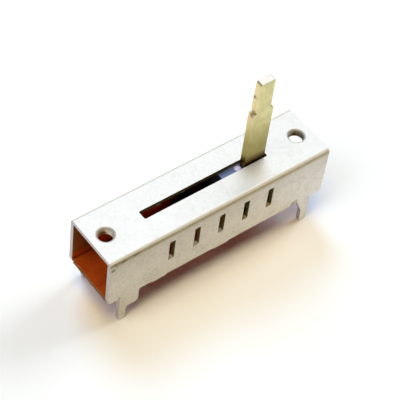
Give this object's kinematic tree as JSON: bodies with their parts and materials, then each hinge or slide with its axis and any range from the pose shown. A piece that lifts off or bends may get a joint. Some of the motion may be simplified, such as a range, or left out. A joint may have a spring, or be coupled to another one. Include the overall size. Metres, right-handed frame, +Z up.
{
  "type": "slide switch",
  "caption": "Open-ended folded metal slide switch with a tall flat lever, click slots in its walls, threaded panel holes and solder legs.",
  "frame": {"origin": "middle of the bounding box in X and Y, at the plane of the four leg tips", "axes": "+X along the slide, towards the end at which the lever stands; +Y across, towards the back wall; +Z up, out of the top plate"},
  "size_m": [0.0354, 0.0088, 0.0281],
  "materials": {
    "plated_steel": "dull tin-zinc plating with a fine mottle and light scuffs at the edges",
    "laminate": "orange-brown paper laminate, satin, slightly translucent",
    "black_moulding": "black thermoset moulding with a soft sheen",
    "yellow_plated_steel": "yellow passivated plating, satin, with bright cut edges",
    "silvered_brass": "silvered brass, satin",
    "contact_bronze": "bright bronze spring sheet",
    "spring_steel": "bright drawn spring steel"
  },
  "bodies": {
    "housing": {"housing": "plated_steel", "base_board": "laminate", "common_rail_front": "silvered_brass", "common_rail_back": "silvered_brass", "throw_contact_front_1": "silvered_brass", "throw_contact_front_2": "silvered_brass", "throw_contact_front_3": "silvered_brass", "throw_contact_front_4": "silvered_brass", "throw_contact_front_5": "silvered_brass", "throw_contact_back_1": "silvered_brass", "throw_contact_back_2": "silvered_brass", "throw_contact_back_3": "silvered_brass", "throw_contact_back_4": "silvered_brass", "throw_contact_back_5": "silvered_brass"},
    "slider": {"slider": "black_moulding", "lever": "yellow_plated_steel", "moving_contact_front": "contact_bronze", "moving_contact_back": "contact_bronze", "contact_spring_front": "spring_steel", "contact_spring_back": "spring_steel", "click_spring_front": "spring_steel", "click_spring_back": "spring_steel"}
  },
  "joints": [
    {"name": "lever_slide", "type": "slide", "parent": "housing", "child": "slider", "axis": [1, 0, 0], "range_m": [-0.016, 0]}
  ]
}
